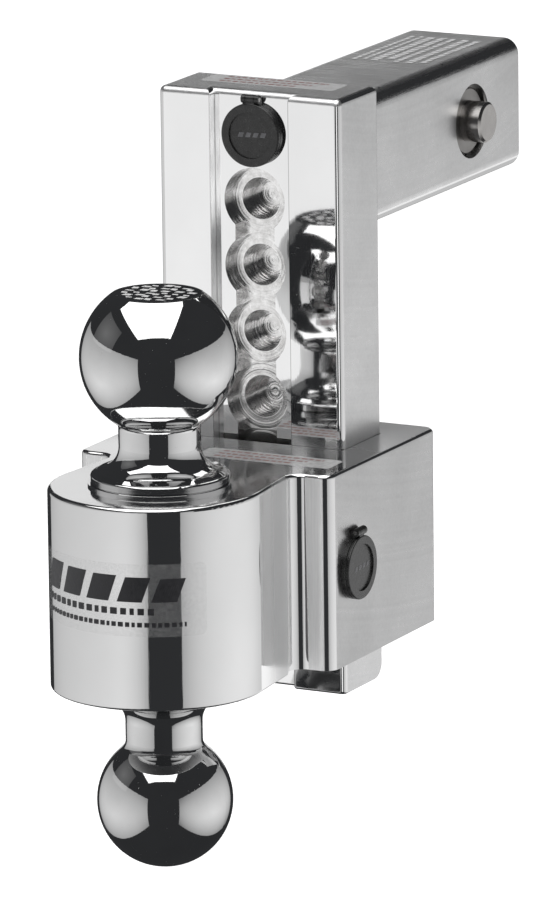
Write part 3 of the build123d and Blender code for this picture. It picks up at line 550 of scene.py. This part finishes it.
# ---------------------------------------------------------------- studio
# Directions are counted from the camera: toward is level and points to it, rightward to its right.
CAMERA_AZIMUTH = math.radians(27.15)
CAMERA_LIFT = math.radians(13.14)
CAMERA_ROLL = math.radians(-0.70)
LENS = 359.6                # millimetres, for a picture whose long side is 36 mm
SENSOR = 36.0
CAMERA_DISTANCE = 3.3594
CAMERA_RIGHT = 0.02548      # how far the camera is moved sideways and up without turning
CAMERA_UP = 0.00364
TARGET = Vector((0.0, -0.1739, -0.0997))
toward = Vector((math.sin(CAMERA_AZIMUTH), -math.cos(CAMERA_AZIMUTH), 0.0))
rightward = Vector((math.cos(CAMERA_AZIMUTH), math.sin(CAMERA_AZIMUTH), 0.0))
UP = Vector((0.0, 0.0, 1.0))


def softbox(name, place, facing, width, height, level, edge=0.25, only=None, never=None):
    """A rectangular soft light that dims towards its edges.

    place is (towards the camera, right, up) from the target in metres, and facing is where it looks.
    A light straight above its aim is turned square to the camera.
    """
    data = bpy.data.lights.new(name, "AREA")
    data.shape = "RECTANGLE"
    data.size = width
    data.size_y = height
    data.energy = level * width * height * math.pi
    data.use_nodes = True
    tree = data.node_tree
    emission = tree.nodes["Emission"]
    geometry = tree.nodes.new("ShaderNodeNewGeometry")
    middle = tree.nodes.new("ShaderNodeVectorMath")
    middle.operation = "DISTANCE"
    middle.inputs[1].default_value = (0.5, 0.5, 0.0)
    fade = tree.nodes.new("ShaderNodeMapRange")
    fade.inputs["From Min"].default_value = 0.0
    fade.inputs["From Max"].default_value = 0.7
    fade.inputs["To Min"].default_value = 1.0 + edge
    fade.inputs["To Max"].default_value = 1.0 - edge
    tree.links.new(geometry.outputs["Parametric"], middle.inputs[0])
    tree.links.new(middle.outputs["Value"], fade.inputs["Value"])
    tree.links.new(fade.outputs["Result"], emission.inputs["Strength"])
    lamp = bpy.data.objects.new(name, data)
    bpy.context.scene.collection.objects.link(lamp)
    spot = TARGET + toward * place[0] + rightward * place[1] + UP * place[2]
    aim = TARGET + toward * facing[0] + rightward * facing[1] + UP * facing[2]
    turn = (spot - aim).to_track_quat("Z", "Y").to_matrix().to_4x4()
    if place[:2] == facing[:2]:
        turn = Matrix((rightward, -toward, UP)).transposed().to_4x4()
    lamp.matrix_world = Matrix.Translation(spot) @ turn
    lamp.visible_camera = False
    if only or never:
        group = bpy.data.collections.new(name + "_lit")
        for part in (only or never):
            group.objects.link(nodes[part])
        lamp.light_linking.receiver_collection = group
        if never:
            for item in group.collection_objects:
                item.light_linking.link_state = "EXCLUDE"


def side_wall(name, azimuth, near, far, top, bottom, level, edge=0.18, only=None, never=None):
    """An upright light one metre from the target, square to an azimuth counted from the camera.

    near and far are how far it reaches towards the camera and away from it.
    """
    a = math.radians(azimuth)
    across = (math.cos(a), math.sin(a))
    along = (math.sin(a), -math.cos(a)) if azimuth > 0 else (-math.sin(a), math.cos(a))
    middle = (near - far) / 2
    height = (top + bottom) / 2
    place = (across[0] + along[0] * middle, across[1] + along[1] * middle, height)
    facing = (along[0] * middle, along[1] * middle, height)
    softbox(name, place, facing, near + far, top - bottom, level, edge, only, never)


# The platform's nose bulges towards the camera, so its left wall has to reach further forward.
NOSE_PART = ("ball_platform",)
side_wall("left_wall", -85, 1.48, 1.9, 0.27, -1.2, 0.56, edge=0.5, never=NOSE_PART)
side_wall("left_wall_for_nose", -85, 3.6, 1.9, 0.27, -1.2, 0.55, edge=0.5, only=NOSE_PART)
side_wall("right_wall", 82, 1.65, 1.95, 0.29, -1.2, 0.56, edge=0.72)
softbox("overhead", (0.46, -0.19, 1.1), (0.46, -0.19, 0.0), 1.4, 1.72, 2.1, 0.1)
softbox("left_upper", (-0.1, -1.3, 0.62), (0.0, 0.0, 0.0), 1.2, 0.75, 0.1, 0.5)
softbox("column_fill", (0.70, -0.97, -0.27), (0.0, 0.0, 0.0), 0.7, 0.8, 0.33, 0.0, only=("drawbar",))
softbox("recess_fill", (1.2, 0.0, -0.28), (0.0, 0.0, 0.0), 0.34, 0.5, 1.15, 0.3, only=("drawbar",))
softbox("backdrop", (-2.0, 0.0, 0.1), (0.0, 0.0, 0.1), 1.06, 1.0, 0.8, 0.1, never=("upper_ball",))
# It lights what is seen from behind, and stands low and to the right so that the nose's left edge
# stays dark from the front.
softbox("behind", (-1.5, 0.76, -0.95), (0.0, 0.0, -0.5), 1.36, 1.1, 0.5, 0.2,
        never=("upper_ball", "lower_ball"))

world = bpy.data.worlds.new("studio")
bpy.context.scene.world = world
world.use_nodes = True
DIM_ROOM = (0.03, 0.031, 0.033, 1.0)
world.node_tree.nodes["Background"].inputs["Color"].default_value = DIM_ROOM

floor_tree = Tree("floor_paper")
floor_material = floor_tree.set(Base_Color=grey(0.92), Roughness=0.9, Emission_Color=grey(1.0),
                                Emission_Strength=0.9)
# The paper lies just under where the lower ball comes to at the platform's lowest stop.
bpy.ops.mesh.primitive_plane_add(size=24.0, location=(0.0, 0.0, (LOWER_BALL_LOWEST - 1.0) * MM))
floor = bpy.context.object
floor.name = "floor"
floor.data.materials.append(floor_material)
floor.visible_glossy = False
floor.visible_shadow = False

back = toward * math.cos(CAMERA_LIFT) + UP * math.sin(CAMERA_LIFT)
up = back.cross(rightward)
right_rolled = rightward * math.cos(CAMERA_ROLL) + up * math.sin(CAMERA_ROLL)
up_rolled = up * math.cos(CAMERA_ROLL) - rightward * math.sin(CAMERA_ROLL)
camera_data = bpy.data.cameras.new("camera")
camera_data.sensor_width = SENSOR
camera_data.lens = LENS
camera_data.clip_end = 60.0
camera = bpy.data.objects.new("camera", camera_data)
bpy.context.scene.collection.objects.link(camera)
spot = TARGET + back * CAMERA_DISTANCE + right_rolled * CAMERA_RIGHT + up_rolled * CAMERA_UP
camera.matrix_world = Matrix((
    (right_rolled.x, up_rolled.x, back.x, spot.x),
    (right_rolled.y, up_rolled.y, back.y, spot.y),
    (right_rolled.z, up_rolled.z, back.z, spot.z),
    (0.0, 0.0, 0.0, 1.0)))
bpy.context.scene.camera = camera
bpy.context.scene.view_settings.view_transform = "Standard"
